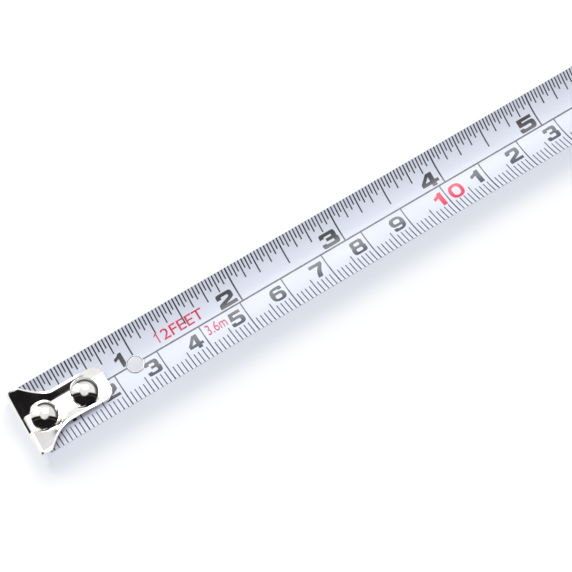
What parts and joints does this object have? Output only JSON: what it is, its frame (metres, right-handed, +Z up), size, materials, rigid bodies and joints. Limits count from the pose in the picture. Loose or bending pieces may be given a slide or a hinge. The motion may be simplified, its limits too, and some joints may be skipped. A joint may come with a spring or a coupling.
{
  "type": "tape measure",
  "caption": "Pocket tape measure with its hollow-section steel blade drawn out, a riveted sliding end hook, a spring reel, a thumb lock and a belt clip.",
  "frame": {"origin": "centre of the flat base of the case, on the surface that it stands on, below the middle of the blade", "axes": "+Z up, -X the way the blade is drawn out, +Y towards the belt clip and the inch edge of the blade"},
  "size_m": [0.2281, 0.0315, 0.0566],
  "materials": {
    "case_plastic": "fine satin texture",
    "soft_grip": "matt",
    "label_face": "satin",
    "plain_steel": "rolled",
    "screw_steel": "dark zinc plated",
    "reel_plastic": "natural nylon",
    "blade_enamel": "semi-gloss enamel with printed scales",
    "hook_chrome": "polished nickel plate",
    "button_plastic": "satin moulded"
  },
  "bodies": {
    "case": {"case_left": "case_plastic", "case_right": "case_plastic", "grip_left": "soft_grip", "grip_right": "soft_grip", "side_label": "label_face", "front_bumper": "soft_grip", "blade_guide": "plain_steel", "centre_post": "plain_steel", "belt_clip": "plain_steel", "clip_screw": "screw_steel", "case_screw_top_front": "screw_steel", "case_screw_top_back": "screw_steel", "case_screw_base_back": "screw_steel"},
    "reel": {"reel_drum": "reel_plastic", "reel_cover": "reel_plastic", "power_spring": "plain_steel", "blade_coil": "blade_enamel"},
    "blade": {"blade_strip": "blade_enamel", "rivet_front": "hook_chrome", "rivet_rear": "hook_chrome"},
    "hook": {"end_hook": "hook_chrome"},
    "lock": {"lock_button": "button_plastic", "lock_slider": "reel_plastic", "brake_pad_left": "soft_grip", "brake_pad_right": "soft_grip"}
  },
  "joints": [
    {"name": "blade_slide", "type": "slide", "parent": "case", "child": "blade", "axis": [1, 0, 0], "range_m": [0, 0.16375], "deforming": ["blade_strip"]},
    {"name": "hook_play", "type": "slide", "parent": "blade", "child": "hook", "axis": [1, 0, 0], "range_m": [0, 0.00095]},
    {"name": "reel_spin", "type": "hinge", "parent": "case", "child": "reel", "pos_m": [0, 0, 0.02849], "axis": [0, 1, 0], "range_deg": [-443, 0], "deforming": ["power_spring"]},
    {"name": "lock_slide", "type": "slide", "parent": "case", "child": "lock", "axis": [0, 0, 1], "range_m": [0, 0.0035]}
  ],
  "couplings": [
    {"joint": "reel_spin", "follows": "blade_slide", "rad_per_m": -47.186}
  ]
}
